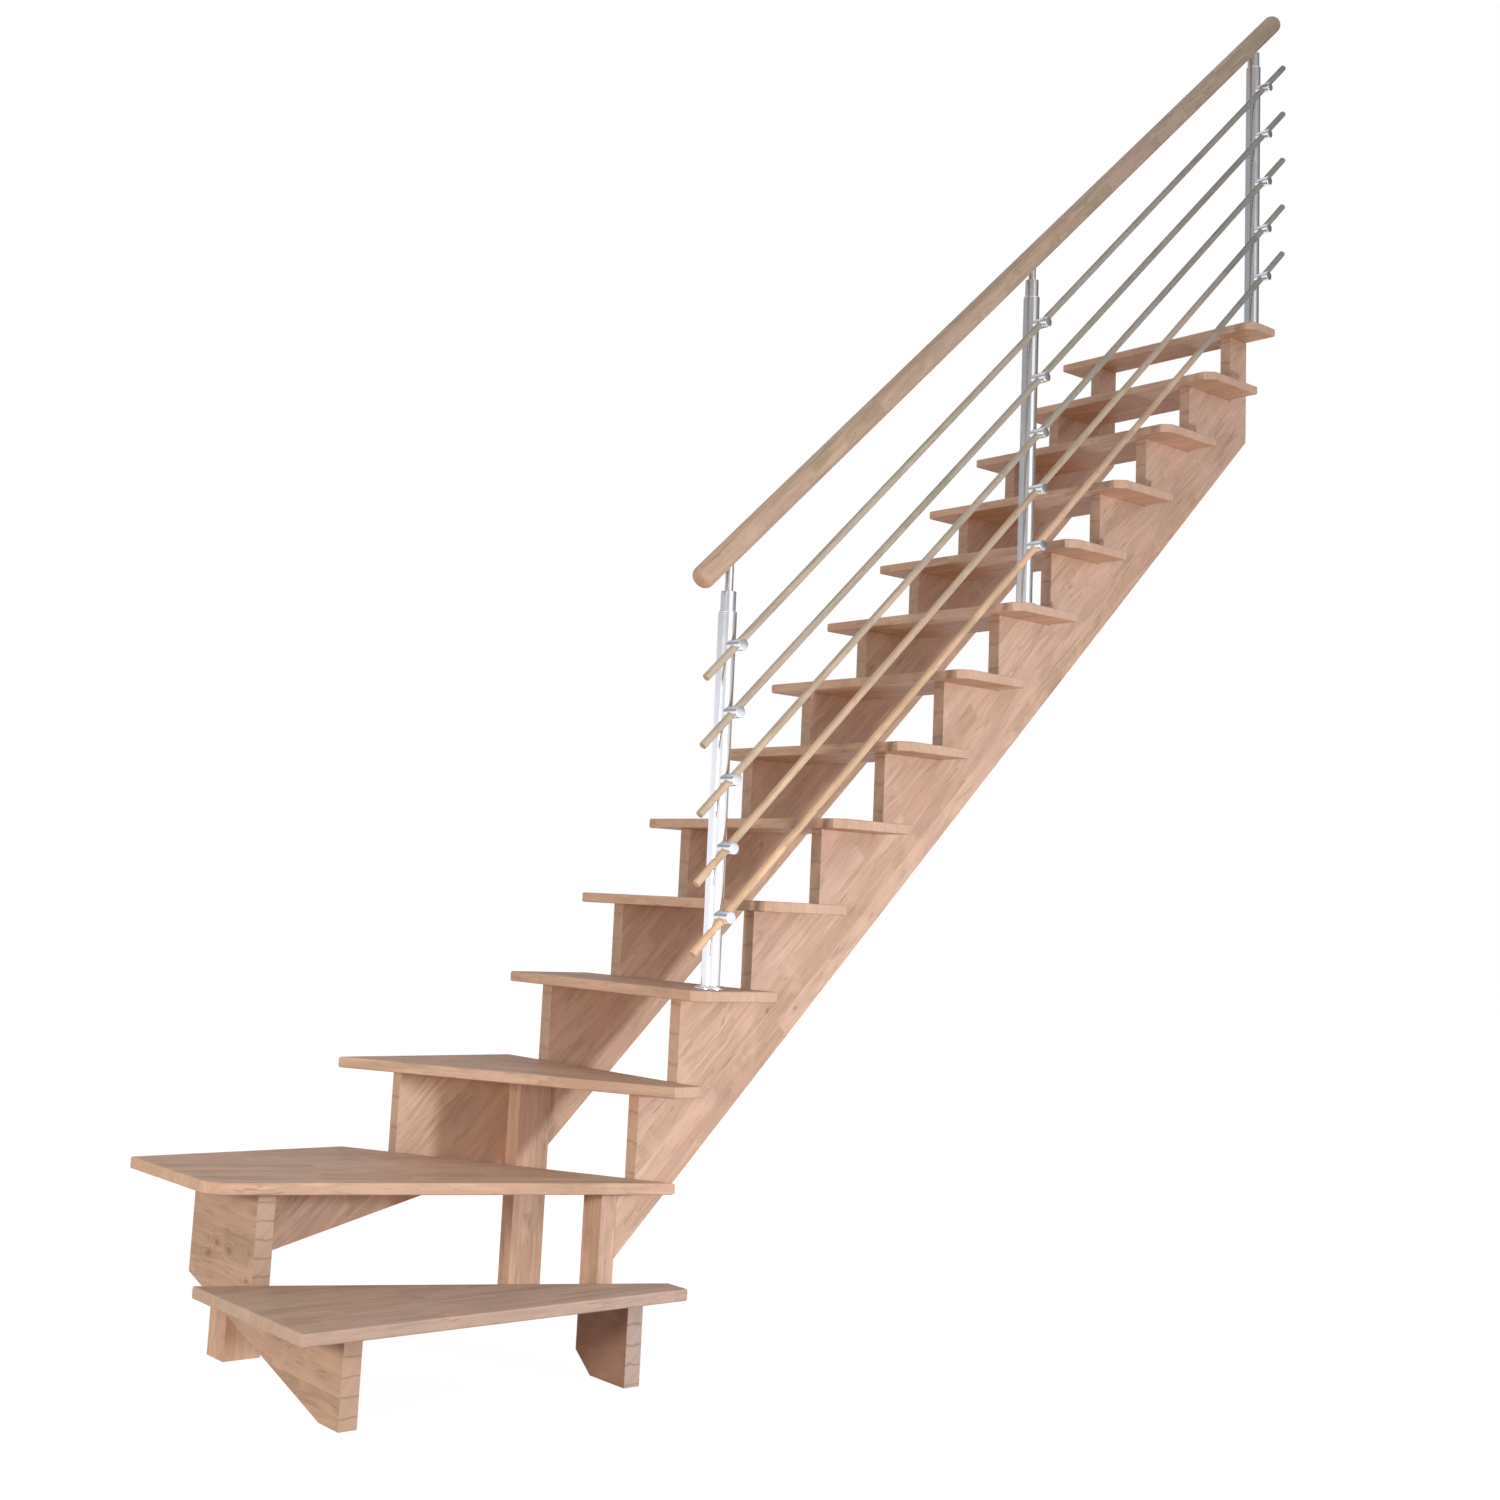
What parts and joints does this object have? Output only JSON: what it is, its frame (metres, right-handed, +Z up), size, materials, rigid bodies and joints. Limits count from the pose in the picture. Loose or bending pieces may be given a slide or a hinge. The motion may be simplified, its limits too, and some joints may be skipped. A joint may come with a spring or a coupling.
{
  "type": "winder staircase",
  "caption": "Steep wooden staircase whose wedge-shaped lower steps turn a quarter, on saw-tooth stringers, with a round handrail and rod balustrade.",
  "frame": {"origin": "middle of the right stringer's vertical top end face, which is fastened to the edge of the upper floor", "axes": "+Z up, +Y the way the straight flight climbs, +X to its right, the balustrade side, from which the stair is entered"},
  "size_m": [0.785, 3.1954, 3.8465],
  "materials": {
    "tread_wood": "oiled laminated wood, satin",
    "frame_wood": "oiled laminated wood, satin",
    "rail_wood": "round turned wood, satin lacquer",
    "post_steel": "satin brushed"
  },
  "bodies": {
    "root": {"tread_01": "tread_wood", "tread_02": "tread_wood", "tread_03": "tread_wood", "tread_04": "tread_wood", "tread_05": "tread_wood", "tread_06": "tread_wood", "tread_07": "tread_wood", "tread_08": "tread_wood", "tread_09": "tread_wood", "tread_10": "tread_wood", "tread_11": "tread_wood", "tread_12": "tread_wood", "tread_13": "tread_wood", "tread_14": "tread_wood", "right_stringer": "frame_wood", "left_stringer": "frame_wood", "corner_stringer": "frame_wood", "front_board": "frame_wood", "entry_board": "frame_wood", "corner_post": "frame_wood", "newel_post": "frame_wood", "pivot_post": "frame_wood", "low_post_tube": "post_steel", "middle_post_tube": "post_steel", "top_post_tube": "post_steel", "post_flanges": "post_steel", "post_heads": "post_steel", "rod_1_holders": "post_steel", "rod_2_holders": "post_steel", "rod_3_holders": "post_steel", "rod_4_holders": "post_steel", "rod_5_holders": "post_steel", "handrail": "rail_wood", "rod_1": "rail_wood", "rod_2": "rail_wood", "rod_3": "rail_wood", "rod_4": "rail_wood", "rod_5": "rail_wood"}
  },
  "joints": []
}
